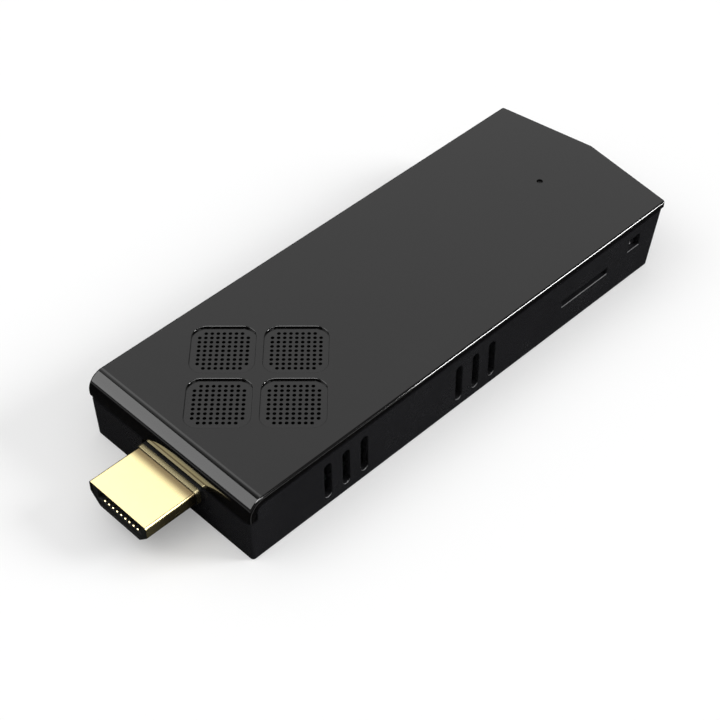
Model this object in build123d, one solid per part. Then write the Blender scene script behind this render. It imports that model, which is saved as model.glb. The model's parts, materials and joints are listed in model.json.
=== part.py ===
from build123d import *
import math
import os

# Millimetres throughout. X runs across the stick, Y along it with the plug towards -Y, Z up.
# The origin is the middle of the whole stick, plug included, on its underside.
# A station is a distance behind the face of the lid's front lip.

# Whole stick
body_width = 39.0
body_length = 100.0
tail_rise = 2.8
body_height = 13.35
plug_reach = 11.0
overrun = 1.0

# Lid: a sheet with a lip bent down at the nose
lid_thickness = 1.5
lid_edge = 0.25
lid_overhang = 0.3
lip_flat = 1.15
seam_gap = 0.5
rim_thickness = 0.8
rim_fit = 0.15
rim_gap = 0.3

# Tub under the lid
wall = 1.3
floor_thickness = 1.2
front_draft = 0.4
tail_slope = 2.5
corner_radius = 0.6
foot_edge = 0.2

# Four perforated pads, set as a diamond over the fan
pad_pitch = 1.0
pad_margin = 1.65
pad_gap = 1.35
pad_corner = 2.4
pad_depth = 0.4
pad_spacing = 12.0
pad_hole = 0.64
pad_hole_sides = 6
fan_station = 19.7

# Side vents
vent_width = 1.55
vent_pitch = 4.03
vent_count = 3
vent_bottom = 1.75
vent_margin = 1.85
front_vent_station = 20.8
middle_vent_station = 50.95

# Underside vents
floor_vent_width = 1.6
floor_vent_length = 13.0
floor_vent_pitch = 3.4
floor_vent_count = 5
floor_vent_station = 45.5

# Circuit board, a little below the middle of the room inside
board_drop = 1.575
board_thickness = 1.0
board_gap = 0.25
board_front = 2.4

# Case screws, each through a tub boss and the board into a lid boss
boss_radius = 2.0
foot_boss_radius = 2.6
front_boss_inset = 4.4
front_boss_station = 5.4
rear_boss_gap = 0.95
rear_boss_from_tail = 6.4
screw_radius = 0.9
screw_spare = 2.85
screw_head_radius = 1.75
screw_head_height = 1.1
screw_sink = 0.4
screw_recess = 0.45
screw_fit = 0.04
hole_fit = 0.2
bore_spare = 0.6

# Plug
plug_width = 13.9
plug_height = 4.45
plug_rise = 3.1
plug_gap = 0.95
plug_side = 1.1
plug_cheek = 2.3
plug_slant = 2.1
plug_corner = 0.45
plug_inside = 5.4
plug_shell = 0.3
collar_length = 1.1
collar_thickness = 0.25
collar_seat = 1.2
collar_fit = 0.1
insulator_recess = 0.2
insulator_tail = 0.7
insulator_roof = 0.7
plug_slot_width = 10.6
plug_slot_height = 2.0
pin_pitch = 1.0
pin_width = 0.4
pin_thickness = 0.2
pin_recess = 0.1
pin_foot = 0.7
upper_pins = 10
lower_pins = 9
notch_fit = 0.35
shell_foot = 1.6
shell_foot_length = 2.6

# Fan
fan_size = 24.0
fan_corner = 2.0
fan_lift = 1.5
fan_head_gap = 0.9
fan_plate = 0.6
fan_wall = 1.4
fan_cover_thickness = 0.3
fan_intake_lip = 2.0
fan_post_inset = 2.1
fan_post_radius = 1.5
hub_radius = 4.6
hub_head_gap = 0.4
hub_wall = 0.4
hub_gap = 0.5
blade_count = 11
blade_gap = 1.0
blade_head_gap = 0.7
blade_sweep = 38.0
blade_bow = 12.7
blade_angle = 4.5
blade_root = 0.2
magnet_wall = 0.6
shaft_radius = 0.5
bearing_radius = 1.2
bearing_head_gap = 1.0
bearing_fit = 0.03
stator_radius = 3.2
stator_head_gap = 1.5
stator_poles = 4
stator_slot = 0.8
flex_width = 3.0
flex_thickness = 0.2
flex_run = 2.4
flex_bend = 0.6
flex_plug = 1.0
fan_socket_length = 3.0
fan_socket_width = 4.4
fan_socket_height = 1.2
fan_socket_inset = 1.7
small_screw_radius = 0.55
small_screw_length = 3.2
small_head_radius = 1.1
small_head_height = 0.6

# Heat sink, between the sockets, the fan, the right wall and the card socket
heat_sink_side_gap = 1.6
heat_sink_front_gap = 1.3
heat_sink_back_gap = 2.65
heat_sink_head_gap = 0.65
heat_sink_plate = 1.0
fin_count = 11
fin_thickness = 0.6
leg_radius = 1.4
leg_inset = 1.7

# Processor under it
processor_place = 12.5
processor_gap = 0.2
processor_base_height = 0.5
die_side_inset = 1.75
die_end_inset = 2.25
die_height = 0.4
thermal_pad_lip = 0.75

# Chips and small parts on the board
memory_width = 8.0
memory_length = 11.0
memory_height = 0.9
memory_side = 4.9
flash_width = 11.0
flash_length = 13.0
flash_height = 0.9
flash_gap = 2.2
power_chip_size = 6.0
power_chip_height = 0.8
power_chip_side = -2.6
power_chip_gap = 2.0
bios_width = 4.0
bios_length = 5.0
bios_height = 1.0
bios_leg = 0.8
bios_leg_width = 0.4
bios_leg_thickness = 0.3
bios_leg_pitch = 1.27
bios_leg_count = 4
bios_inset = 2.8
bios_station = 25.0
coil_size = 2.5
coil_height = 1.2
coil_corner = 0.5
coil_gap = 0.7
coil_count = 3
coil_side_gap = 2.05
coil_station = 57.6
capacitor_length = 1.6
capacitor_width = 0.8
capacitor_height = 0.8
capacitor_pitch = 2.6
capacitor_rows = 3
capacitor_columns = 4
crystal_width = 2.5
crystal_length = 3.2
crystal_height = 0.8
crystal_inset = 2.8
crystal_station = 13.6
cell_radius = 3.4
cell_gap = 0.75
cell_edge = 0.3
cell_side_gap = 0.7
cell_station = 29.5
light_width = 1.6
light_length = 0.8
light_height = 0.6
light_from_tail = 11.6
light_hole = 1.0
light_recess = 0.35
pipe_fit = 0.03
pipe_flange = 1.1
pipe_flange_height = 0.8
pipe_gap = 0.3

# Radio module and its aerial
radio_size = 12.0
radio_board = 0.8
radio_can_inset = 0.6
radio_can_gap = 0.5
radio_can_wall = 0.2
radio_side = -4.8
radio_gap = 1.25
aerial_length = 7.0
aerial_width = 2.0
aerial_height = 1.0
aerial_from_tail = 3.4

# Left side: how many gaps its four sockets leave between the fan and the rear boss
socket_gap_count = 5

# Full-size USB sockets on the left side, let into the board
usb_width = 13.1
usb_height = 5.7
usb_depth = 14.0
usb_shell = 0.3
usb_sink = 1.3
usb_recess = 0.3
usb_corner = 0.5
usb_fit = 0.2
usb_foot_share = 0.33
usb_foot_length = 3.0
usb_tongue_thickness = 1.8
usb_tongue_recess = 1.2
usb_tongue_side = 0.7
usb_tongue_drop = 0.7
usb_back = 2.4
usb_contact_count = 4
usb_contact_pitch = 2.3
usb_contact_width = 1.0
usb_contact_thickness = 0.2
usb_contact_recess = 0.8
fast_contact_count = 5
fast_contact_pitch = 1.9
fast_contact_width = 0.7
fast_contact_length = 3.0

# Power inlet on the left side
inlet_width = 8.94
inlet_height = 3.26
inlet_depth = 7.4
inlet_shell_wall = 0.3
inlet_recess = 0.3
inlet_fit = 0.2
inlet_tongue_width = 6.7
inlet_tongue_thickness = 0.7
inlet_tongue_recess = 0.6
inlet_back = 1.6
inlet_contact_pitch = 0.5
inlet_contact_width = 0.25
inlet_contact_thickness = 0.08
inlet_contact_count = 12

# Headphone jack on the left side
jack_width = 6.0
jack_height = 5.0
jack_depth = 12.0
jack_nose_radius = 2.4
jack_bore_radius = 1.8
jack_bore_depth = 11.0
jack_recess = 0.3
jack_fit = 0.15
jack_leg_width = 1.4
jack_leg_thickness = 0.3
jack_leg_reach = 0.9
jack_leg_rise = 2.0
jack_leg_count = 3
jack_leg_pitch = 3.4

# Card socket on the right side
card_slot_length = 12.1
card_slot_height = 1.45
card_slot_rise = 1.0
card_from_tail = 20.85
card_width = 14.0
card_depth = 14.4
card_floor = 0.3
card_rail = 1.1
card_cover_thickness = 0.2
card_height = 1.95
card_back = 2.0
card_contact_count = 8
card_contact_pitch = 1.1
card_contact_width = 0.5
card_contact_length = 4.0
card_contact_thickness = 0.15
slider_width = 1.5
slider_length = 4.6
slider_nose = 1.6
slider_nose_width = 1.4
slider_travel = 0.8
slider_fit = 0.08

# Power button behind its square opening
button_from_tail = 7.65
button_rise = 3.2
button_opening_width = 3.0
button_opening_height = 2.75
button_fit = 0.15
button_recess = 0.9
button_travel = 0.3
button_flange = 0.6
button_flange_lip = 0.5
button_dimple_radius = 0.8
button_dimple_depth = 0.25
button_stem_radius = 0.7
button_stem = 0.7
switch_depth = 3.6
switch_width = 5.0
switch_height = 4.7
plunger_radius = 0.8
plunger_fit = 0.05
plunger_reach = 0.8
plunger_grip = 1.2

# Levels that follow from the sizes above
lid_underside = body_height - lid_thickness
wall_top = lid_underside - seam_gap
board_top = (floor_thickness + lid_underside) / 2 - board_drop
board_bottom = board_top - board_thickness
under_room = board_bottom - floor_thickness
plug_top = board_top + plug_rise
plug_bottom = plug_top - plug_height
lip_bottom = plug_top + plug_gap
lip_radius = body_height - lip_bottom - lip_flat
rim_bottom = board_top + jack_height + rim_gap
ledge_top = lip_bottom - seam_gap
ledge_back = lid_thickness + seam_gap
ledge_bend = max(lip_radius - ledge_back, 0)
vent_height = wall_top - vent_bottom - vent_margin
screw_length = lid_underside - screw_sink - screw_head_height - screw_spare
card_slot_level = board_top + card_slot_rise
button_level = board_top + button_rise
cell_height = under_room - cell_gap
radio_can_height = under_room - radio_board - radio_can_gap

# The fan's own levels
fan_bottom = board_top + fan_lift
fan_height = lid_underside - fan_head_gap - fan_bottom
fan_top = fan_bottom + fan_height
blade_bottom = fan_bottom + fan_plate + hub_gap
hub_height = fan_height - fan_plate - hub_gap - hub_head_gap
blade_height = fan_height - fan_plate - hub_gap - fan_cover_thickness - blade_head_gap
bearing_height = fan_plate / 2 + hub_gap + hub_height - hub_wall - bearing_head_gap
stator_height = hub_gap + hub_height - hub_wall - stator_head_gap
fan_wall_radius = fan_size / 2 - fan_wall
fan_intake_radius = fan_wall_radius - fan_intake_lip
blade_reach = fan_wall_radius - blade_gap
fan_post_side = fan_size / 2 - fan_post_inset

# Places across the stick
half_width = body_width / 2
outer_side = half_width - lid_overhang
inner_side = outer_side - wall
usb_end = -outer_side + usb_recess + usb_depth
heat_sink_left = usb_end + heat_sink_side_gap
heat_sink_width = inner_side - heat_sink_side_gap - heat_sink_left
heat_sink_height = lid_underside - heat_sink_head_gap - fan_bottom
processor_side = heat_sink_left + heat_sink_width / 2
processor_size = heat_sink_width - 2 * (leg_inset + leg_radius + processor_gap)
die_width = processor_size - 2 * die_side_inset
die_length = processor_size - 2 * die_end_inset
flash_side = inner_side - flash_gap - flash_width / 2
bios_side = bios_inset - inner_side
crystal_side = crystal_inset - inner_side
cell_side = cell_radius + cell_side_gap - inner_side
coil_side = usb_end + coil_side_gap + coil_size / 2
front_boss_side = half_width - front_boss_inset
button_face = outer_side - button_recess
button_back = inner_side - button_fit
stem_end = button_back - button_flange - button_stem
switch_face = stem_end - plunger_reach
rear_boss_side = switch_face - switch_depth - rear_boss_gap - foot_boss_radius

# Stations along the stick
rear_boss_station = body_length - rear_boss_from_tail
light_station = body_length - light_from_tail
aerial_station = body_length - aerial_from_tail
card_station = body_length - card_from_tail
button_station = body_length - button_from_tail
fan_end = fan_station + fan_size / 2
socket_room = rear_boss_station - foot_boss_radius - fan_end
socket_gap = (socket_room - 2 * usb_width - inlet_width - jack_width) / socket_gap_count
usb_foot = socket_gap * usb_foot_share
usb3_station = fan_end + socket_gap + usb_width / 2
usb2_station = usb3_station + usb_width + socket_gap
inlet_station = usb2_station + (usb_width + inlet_width) / 2 + socket_gap
jack_station = inlet_station + (inlet_width + jack_width) / 2 + socket_gap
heat_sink_station = fan_end + heat_sink_front_gap
heat_sink_length = card_station - card_width / 2 - heat_sink_back_gap - heat_sink_station
processor_station = heat_sink_station + processor_place
radio_station = usb2_station + usb_width / 2 + radio_gap + radio_size / 2
power_chip_station = radio_station + (radio_size + power_chip_size) / 2 + power_chip_gap

# Places in the part's own frame
overall_length = plug_reach + body_length + tail_rise
front = plug_reach - overall_length / 2
plug_back = front + plug_inside
fan_middle = front + fan_station
heat_sink_middle = front + heat_sink_station + heat_sink_length / 2
processor_middle = front + processor_station
corners = [(x, y) for x in (-1, 1) for y in (-1, 1)]
case_screws_at = [
    (-front_boss_side, front + front_boss_station),
    (front_boss_side, front + front_boss_station),
    (-rear_boss_side, front + rear_boss_station),
    (rear_boss_side, front + rear_boss_station),
]
fan_posts_at = [(x * fan_post_side, fan_middle + y * fan_post_side) for x, y in corners]
fan_screws_at = [fan_posts_at[0], fan_posts_at[-1]]
legs_at = [
    (processor_side + x * (heat_sink_width / 2 - leg_inset),
     heat_sink_middle + y * (heat_sink_length / 2 - leg_inset))
    for x, y in corners
]
sink_screws_at = [legs_at[0], legs_at[-1]]
pad_size = pad_spacing - pad_gap
pad_rows = round((pad_size - pad_margin) / pad_pitch)
pad_step = pad_spacing / math.sqrt(2)
pads_at = [(x * pad_step, fan_middle + y * pad_step) for x, y in ((1, 0), (-1, 0), (0, 1), (0, -1))]


# Shared shapes
def block(x_low, x_high, y_low, y_high, z_low, z_high):
    """A block between two corners."""
    middle = Pos((x_low + x_high) / 2, (y_low + y_high) / 2, (z_low + z_high) / 2)
    return middle * Box(x_high - x_low, y_high - y_low, z_high - z_low)


def slab(x, y, width, length, z_low, height):
    """A block by its middle, its base and its height."""
    return Pos(x, y, z_low + height / 2) * Box(width, length, height)


def post(x, y, radius, z_low, z_high):
    """An upright rod."""
    return Pos(x, y, (z_low + z_high) / 2) * Cylinder(radius, z_high - z_low)


def crossways(face, x_low, x_high):
    """A face drawn in Y and Z, carried from one x to another."""
    return Pos(x_low, 0, 0) * extrude(Plane.YZ * face, x_high - x_low)


def lengthways(face, y_low, y_high):
    """A face drawn in X and Z, carried from one y to another."""
    return Pos(0, y_high, 0) * extrude(Plane.XZ * face, y_high - y_low)


def tail_line(x, inset):
    """Where the pointed tail lies at a distance x from the middle."""
    return front + body_length + tail_rise * (1 - abs(x) / half_width) - inset


def plan(side, nose, tail, corner=0):
    """The stick from above, drawn in at its sides, its nose and its tail."""
    half = half_width - side
    points = [
        (-half, front + nose),
        (half, front + nose),
        (half, tail_line(half, tail)),
        (0, tail_line(0, tail)),
        (-half, tail_line(half, tail)),
    ]
    face = make_face(Polyline(points, close=True))
    return fillet(face.vertices(), corner) if corner else face


def side_view(nose, bottom, top, bend):
    """A block as wide as the stick, seen from the side, with its upper front edge rounded."""
    start, end = front + nose, tail_line(0, 0) + overrun
    points = [(start, bottom), (end, bottom), (end, top), (start, top)]
    face = make_face(Polyline(points, close=True))
    if bend:
        face = fillet(face.vertices().sort_by(Axis.X)[:2].sort_by(Axis.Y)[-1:], bend)
    return crossways(face, -half_width - overrun, half_width + overrun)


def drawn_in(z, side, nose, tail, corner=0):
    """The tub's plan at a height, with its sloping tail and drafted nose."""
    share = 1 - z / wall_top
    face = plan(side, nose + front_draft * share, tail + tail_slope * share, corner)
    return Pos(0, 0, z) * face


def plug_outline(grow):
    """The plug's section: flat on top, with slanting lower cheeks."""
    half = plug_width / 2
    points = [
        (plug_side - half, plug_top),
        (plug_side + half, plug_top),
        (plug_side + half, plug_top - plug_cheek),
        (plug_side + half - plug_slant, plug_bottom),
        (plug_side - half + plug_slant, plug_bottom),
        (plug_side - half, plug_top - plug_cheek),
    ]
    face = make_face(Polyline(points, close=True))
    face = fillet(face.vertices(), plug_corner)
    return offset(face, grow) if grow else face


# Casing
def make_top_cover():
    sheet = side_view(0, lip_bottom, body_height, lip_radius)
    sheet -= side_view(lid_thickness, lip_bottom - overrun, lid_underside, lip_radius - lid_thickness)
    sheet &= extrude(plan(0, 0, 0), body_height)
    top_edges = sheet.edges().filter_by_position(Axis.Z, body_height - lid_edge, body_height)
    long_edges = [e for e in top_edges if abs(e.center().Y - front - lip_radius) > lid_edge]
    ends = [e for e in sheet.edges().filter_by(GeomType.CIRCLE) if abs(e.radius - lip_radius) < lid_edge]
    sheet = fillet(long_edges + ends, lid_edge)
    inside = lid_overhang + wall + rim_fit
    tail_inside = inside + tail_slope * (1 - rim_bottom / wall_top)
    nose_inside = ledge_back + wall + rim_fit
    rim = plan(inside, nose_inside, tail_inside)
    rim -= plan(inside + rim_thickness, nose_inside + rim_thickness, tail_inside + rim_thickness)
    sheet += Pos(0, 0, rim_bottom) * extrude(rim, lid_underside - rim_bottom)
    for x, y in case_screws_at:
        sheet += post(x, y, boss_radius, board_top, lid_underside)
    for x, y in case_screws_at:
        bore_top = screw_sink + screw_head_height + screw_length + bore_spare
        sheet -= post(x, y, screw_radius + screw_fit, board_top - overrun, bore_top)
    recess = Rot(0, 0, 45) * RectangleRounded(pad_size, pad_size, pad_corner)
    for x, y in pads_at:
        sheet -= Pos(x, y, body_height - pad_depth) * extrude(recess, pad_depth + overrun)
    sheet -= Pos(0, 0, lid_underside - overrun) * extrude(pad_holes(), lid_thickness + 2 * overrun)
    sheet -= post(0, front + light_station, light_hole / 2, lid_underside - overrun, body_height + overrun)
    return sheet


def pad_holes():
    """Rows of small holes over each pad, with the corner ones left out."""
    hole = RegularPolygon(pad_hole / 2, pad_hole_sides)
    steps = [(i - (pad_rows - 1) / 2) * pad_pitch for i in range(pad_rows)]
    reach = max(steps)
    places = [(i, j) for i in steps for j in steps if abs(i) < reach or abs(j) < reach]
    turned = [Rot(0, 0, 45) * Pos(i, j, 0) * hole for i, j in places]
    return Sketch() + [Pos(x, y, 0) * one for x, y in pads_at for one in turned]


def vents(station):
    """A group of upright slots, drawn in Y and Z."""
    middle = vent_bottom + vent_height / 2
    slots = [
        Pos(front + station + (i - (vent_count - 1) / 2) * vent_pitch, middle)
        * SlotOverall(vent_height, vent_width, rotation=90)
        for i in range(vent_count)
    ]
    return Sketch() + slots


def make_base_shell():
    levels = (0, wall_top)
    outer = loft([drawn_in(z, lid_overhang, 0, lid_overhang, corner_radius) for z in levels], ruled=True)
    upper = side_view(ledge_back, 0, wall_top, ledge_bend)
    outer &= side_view(-overrun, 0, ledge_top, 0) + upper
    inset = lid_overhang + wall
    inner = loft([drawn_in(z, inset, wall, inset) for z in (floor_thickness, wall_top)], ruled=True)
    low_room = side_view(-overrun, 0, ledge_top - wall, 0)
    inner &= low_room + side_view(ledge_back + wall, 0, wall_top, 0)
    shell = outer - inner
    foot = shell.edges().filter_by_position(Axis.Z, 0, 0)
    shell = fillet(foot, foot_edge)
    for x, y in case_screws_at:
        shell += post(x, y, foot_boss_radius, floor_thickness, board_bottom) & outer
    head_seat = screw_sink + screw_head_height
    for x, y in case_screws_at:
        shell -= post(x, y, screw_head_radius + hole_fit, -overrun, head_seat)
        shell -= post(x, y, screw_radius + hole_fit, -overrun, board_bottom + overrun)
    shell -= plug_opening()
    shell -= right_openings()
    shell -= left_openings()
    floor_vent = SlotOverall(floor_vent_length, floor_vent_width)
    for i in range(floor_vent_count):
        y = front + floor_vent_station + (i - (floor_vent_count - 1) / 2) * floor_vent_pitch
        shell -= Pos(0, y, -overrun) * extrude(floor_vent, floor_thickness + 2 * overrun)
    return shell


def plug_opening():
    """The notch for the plug in the front wall, open upwards under the lip."""
    grow = collar_thickness + collar_fit
    behind = front + ledge_back + wall + overrun
    opening = lengthways(plug_outline(grow), front - overrun, behind)
    reach = plug_width / 2 + grow
    left, right = plug_side - reach, plug_side + reach
    return opening + block(left, right, front - overrun, behind, plug_top - plug_corner, wall_top + overrun)


def right_openings():
    slots = vents(front_vent_station) + vents(middle_vent_station)
    card = Pos(front + card_station, card_slot_level) * Rectangle(card_slot_length, card_slot_height)
    button_middle = Pos(front + button_station, button_level)
    button = button_middle * Rectangle(button_opening_width, button_opening_height)
    return crossways(slots + card + button, inner_side - wall / 2, outer_side + overrun)


def left_openings():
    openings = vents(front_vent_station)
    for station in (usb3_station, usb2_station):
        middle = Pos(front + station, board_top - usb_sink + usb_height / 2)
        openings += middle * RectangleRounded(usb_width + 2 * usb_fit, usb_height + 2 * usb_fit, usb_corner)
    inlet_middle = Pos(front + inlet_station, board_top + inlet_height / 2)
    openings += inlet_middle * SlotOverall(inlet_width + 2 * inlet_fit, inlet_height + 2 * inlet_fit)
    openings += Pos(front + jack_station, board_top + jack_height / 2) * Circle(jack_nose_radius + jack_fit)
    return crossways(openings, -outer_side - overrun, -inner_side + wall / 2)


def make_case_screws():
    slot = Rectangle(screw_head_radius, screw_recess) + Rectangle(screw_recess, screw_head_radius)
    cross = extrude(slot, screw_recess)
    seat = screw_sink + screw_head_height
    screws = []
    for x, y in case_screws_at:
        head = post(x, y, screw_head_radius, screw_sink, seat)
        shank = post(x, y, screw_radius, seat, seat + screw_length)
        screws.append(head + shank - Pos(x, y, screw_sink) * cross)
    return Compound(screws)


# Plug
def make_hdmi_shell():
    tip = front - plug_reach
    tube = lengthways(plug_outline(0) - plug_outline(-plug_shell), tip, plug_back)
    for side in (-1, 1):
        cheek = plug_side + side * (plug_width / 2 - plug_shell / 2)
        foot = plug_side + side * (plug_width / 2 - plug_shell + shell_foot / 2)
        middle = plug_back - shell_foot_length / 2
        low = plug_top - plug_cheek + plug_corner
        tube += slab(cheek, middle, plug_shell, shell_foot_length, board_top, low - board_top)
        tube += slab(foot, middle, shell_foot, shell_foot_length, board_top, plug_shell)
    return tube


def make_hdmi_collar():
    ring = plug_outline(collar_thickness) - plug_outline(0)
    return lengthways(ring, front - collar_length, front + collar_seat)


def plug_slot(y_low, y_high):
    """The slot that takes the screen's tongue."""
    top = plug_top - plug_shell - insulator_roof
    face = Pos(plug_side, top - plug_slot_height / 2) * Rectangle(plug_slot_width, plug_slot_height)
    return lengthways(face, y_low, y_high)


def make_hdmi_insulator():
    start = front - plug_reach + insulator_recess
    end = plug_back + insulator_tail
    return lengthways(plug_outline(-plug_shell), start, end) - plug_slot(start - overrun, end + overrun)


def make_hdmi_contacts():
    start = front - plug_reach + insulator_recess + pin_recess
    end = plug_back + insulator_tail
    roof = plug_top - plug_shell - insulator_roof
    sill = roof - plug_slot_height
    pins = []
    for count, low, reach in ((upper_pins, roof - pin_thickness, pin_foot), (lower_pins, sill, 0)):
        for i in range(count):
            x = plug_side + (i - (count - 1) / 2) * pin_pitch
            left, right = x - pin_width / 2, x + pin_width / 2
            knee = end + pin_recess + reach
            pin = block(left, right, start, knee + pin_thickness, low, low + pin_thickness)
            pin += block(left, right, knee, knee + pin_thickness, board_top, low + pin_thickness)
            pin += block(left, right, knee, knee + pin_foot, board_top, board_top + pin_thickness)
            pins.append(pin)
    return Compound(pins)


# Board and what is soldered to it
def make_main_board():
    side = lid_overhang + wall + board_gap
    tail = side + tail_slope * (1 - board_bottom / wall_top)
    face = plan(side, board_front, tail)
    notch = plug_width / 2 + notch_fit
    back = plug_back + insulator_tail + board_gap
    face -= Pos(plug_side, (front + back) / 2) * Rectangle(2 * notch, back - front)
    for station in (usb3_station, usb2_station):
        depth = lid_overhang + usb_recess + usb_depth + board_gap
        middle = Pos(-half_width + depth / 2, front + station)
        face -= middle * Rectangle(depth, usb_width + 2 * usb_fit)
    holes = [Pos(x, y) * Circle(screw_radius + hole_fit) for x, y in case_screws_at]
    holes += [Pos(x, y) * Circle(small_screw_radius + hole_fit) for x, y in fan_screws_at + sink_screws_at]
    return Pos(0, 0, board_bottom) * extrude(face - holes, board_thickness)


def make_ram_chips():
    return Compound([
        slab(side * memory_side, fan_middle, memory_width, memory_length, low, memory_height)
        for low in (board_top, board_bottom - memory_height)
        for side in (-1, 1)
    ])


def make_bios_chip():
    y = front + bios_station
    chip = slab(bios_side, y, bios_width, bios_length, board_top + bios_leg_thickness, bios_height)
    for side in (-1, 1):
        for i in range(bios_leg_count):
            x = bios_side + side * bios_width / 2
            place = y + (i - (bios_leg_count - 1) / 2) * bios_leg_pitch
            chip += slab(x, place, bios_leg, bios_leg_width, board_top, bios_leg_thickness * 2)
    return chip


def make_inductors():
    face = RectangleRounded(coil_size, coil_size, coil_corner)
    coil = Pos(coil_side, 0, board_top) * extrude(face, coil_height)
    return Compound([
        Pos(0, front + coil_station + i * (coil_size + coil_gap), 0) * coil for i in range(coil_count)
    ])


def make_capacitors():
    caps = []
    for i in range(capacitor_columns):
        for j in range(capacitor_rows):
            x = processor_side + (i - (capacitor_columns - 1) / 2) * capacitor_pitch
            y = processor_middle + (j - (capacitor_rows - 1) / 2) * capacitor_pitch
            low = board_bottom - capacitor_height
            caps.append(slab(x, y, capacitor_length, capacitor_width, low, capacitor_height))
    return Compound(caps)


def make_clock_cell():
    cell = post(cell_side, front + cell_station, cell_radius, board_bottom - cell_height, board_bottom)
    return chamfer(cell.edges().sort_by(Axis.Z)[0], cell_edge)


def make_wifi_can():
    inside = radio_size - 2 * radio_can_inset
    high = board_bottom - radio_board
    y = front + radio_station
    can = slab(radio_side, y, inside, inside, high - radio_can_height, radio_can_height)
    room = inside - 2 * radio_can_wall
    return can - slab(radio_side, y, room, room, high - radio_can_height + radio_can_wall, radio_can_height)


def make_light_pipe():
    y = front + light_station
    low = board_top + light_height + pipe_gap
    pipe = post(0, y, light_hole / 2 - pipe_fit, low, body_height - light_recess)
    return pipe + post(0, y, pipe_flange, lid_underside - pipe_flange_height, lid_underside)


# Processor cooling
def make_heat_sink():
    y = heat_sink_middle
    low = fan_bottom
    sink = slab(processor_side, y, heat_sink_width, heat_sink_length, low, heat_sink_plate)
    pitch = (heat_sink_width - fin_thickness) / (fin_count - 1)
    for i in range(fin_count):
        x = processor_side + (i - (fin_count - 1) / 2) * pitch
        sink += slab(x, y, fin_thickness, heat_sink_length, low, heat_sink_height)
    for x, place in legs_at:
        sink += post(x, place, leg_radius, board_top, low)
    for x, place in sink_screws_at:
        sink -= post(x, place, small_screw_radius + screw_fit, board_top - overrun, screw_tip())
    return sink


def screw_tip():
    """How high the small screws' bores reach."""
    return board_bottom + small_screw_length


def small_screws(places):
    """Small screws up through the board, their heads under it."""
    screws = []
    for x, y in places:
        head = post(x, y, small_head_radius, board_bottom - small_head_height, board_bottom)
        screws.append(head + post(x, y, small_screw_radius, board_bottom, screw_tip() - hole_fit))
    return Compound(screws)


# Fan
def fan_room():
    """The round room for the blades, open to the heat sink."""
    mouth = Pos(0, fan_middle + fan_size / 4) * Rectangle(2 * fan_wall_radius, fan_size / 2)
    return Pos(0, fan_middle) * Circle(fan_wall_radius) + mouth


def fan_square(height):
    square = Pos(0, fan_middle) * RectangleRounded(fan_size, fan_size, fan_corner)
    return extrude(square, height)


def make_fan_base():
    wall_height = fan_height - fan_cover_thickness
    base = Pos(0, 0, fan_bottom) * fan_square(wall_height)
    base -= Pos(0, 0, fan_bottom + fan_plate) * extrude(fan_room(), fan_height)
    for x, y in fan_posts_at:
        base += post(x, y, fan_post_radius, board_top, fan_bottom)
    for x, y in fan_screws_at:
        base -= post(x, y, small_screw_radius + screw_fit, board_top - overrun, screw_tip())
    return base - post(0, fan_middle, bearing_radius, fan_bottom + fan_plate / 2, fan_top)


def make_fan_cover():
    cover = Pos(0, 0, fan_top - fan_cover_thickness) * fan_square(fan_cover_thickness)
    return cover - post(0, fan_middle, fan_intake_radius, fan_bottom, fan_top + overrun)


def blade_face():
    """One swept blade from above, widening outwards."""
    def spot(radius, angle):
        turn = math.radians(angle)
        return (radius * math.cos(turn), radius * math.sin(turn))
    root, reach = hub_radius - blade_root, blade_reach
    middle = (root + reach) / 2
    lead = ThreePointArc(spot(root, 0), spot(middle, blade_bow), spot(reach, blade_sweep))
    trail = ThreePointArc(
        spot(reach, blade_sweep + blade_angle),
        spot(middle, blade_bow + blade_angle),
        spot(root, blade_angle),
    )
    return make_face([lead, Line(lead @ 1, trail @ 0), trail, Line(trail @ 1, lead @ 0)])


def make_fan_rotor():
    hub = post(0, 0, hub_radius, blade_bottom, blade_bottom + hub_height)
    hub -= post(0, 0, hub_radius - hub_wall, blade_bottom - overrun, blade_bottom + hub_height - hub_wall)
    blade = Pos(0, 0, blade_bottom) * extrude(blade_face(), blade_height)
    for i in range(blade_count):
        hub += Rot(0, 0, i * 360 / blade_count) * blade
    hub -= post(0, 0, shaft_radius, blade_bottom, blade_bottom + hub_height + overrun)
    return Pos(0, fan_middle, 0) * hub


def make_fan_magnet():
    outer = hub_radius - hub_wall
    low, high = blade_bottom, blade_bottom + hub_height - hub_wall
    return post(0, fan_middle, outer, low, high) - post(0, fan_middle, outer - magnet_wall, low, high)


def make_fan_shaft():
    low = fan_bottom + fan_plate
    return post(0, fan_middle, shaft_radius, low, blade_bottom + hub_height)


def make_fan_bearing():
    low = fan_bottom + fan_plate / 2
    high = low + bearing_height
    sleeve = post(0, fan_middle, bearing_radius, low, high)
    return sleeve - post(0, fan_middle, shaft_radius + bearing_fit, fan_bottom + fan_plate, high)


def make_fan_stator():
    low = fan_bottom + fan_plate
    core = post(0, fan_middle, stator_radius, low, low + stator_height)
    core -= post(0, fan_middle, bearing_radius, low, low + stator_height)
    rim = (stator_radius + bearing_radius) / 2
    cut = slab(rim + stator_radius / 2, 0, stator_radius, stator_slot, low, stator_height)
    for i in range(stator_poles):
        core -= Pos(0, fan_middle, 0) * Rot(0, 0, i * 360 / stator_poles) * cut
    return core


def fan_socket_spot():
    """X of the fan socket's mouth."""
    return fan_socket_inset + fan_socket_length - inner_side


def flex_level():
    """Height of the flex where it enters its socket."""
    return board_top + fan_socket_height / 2


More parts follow.
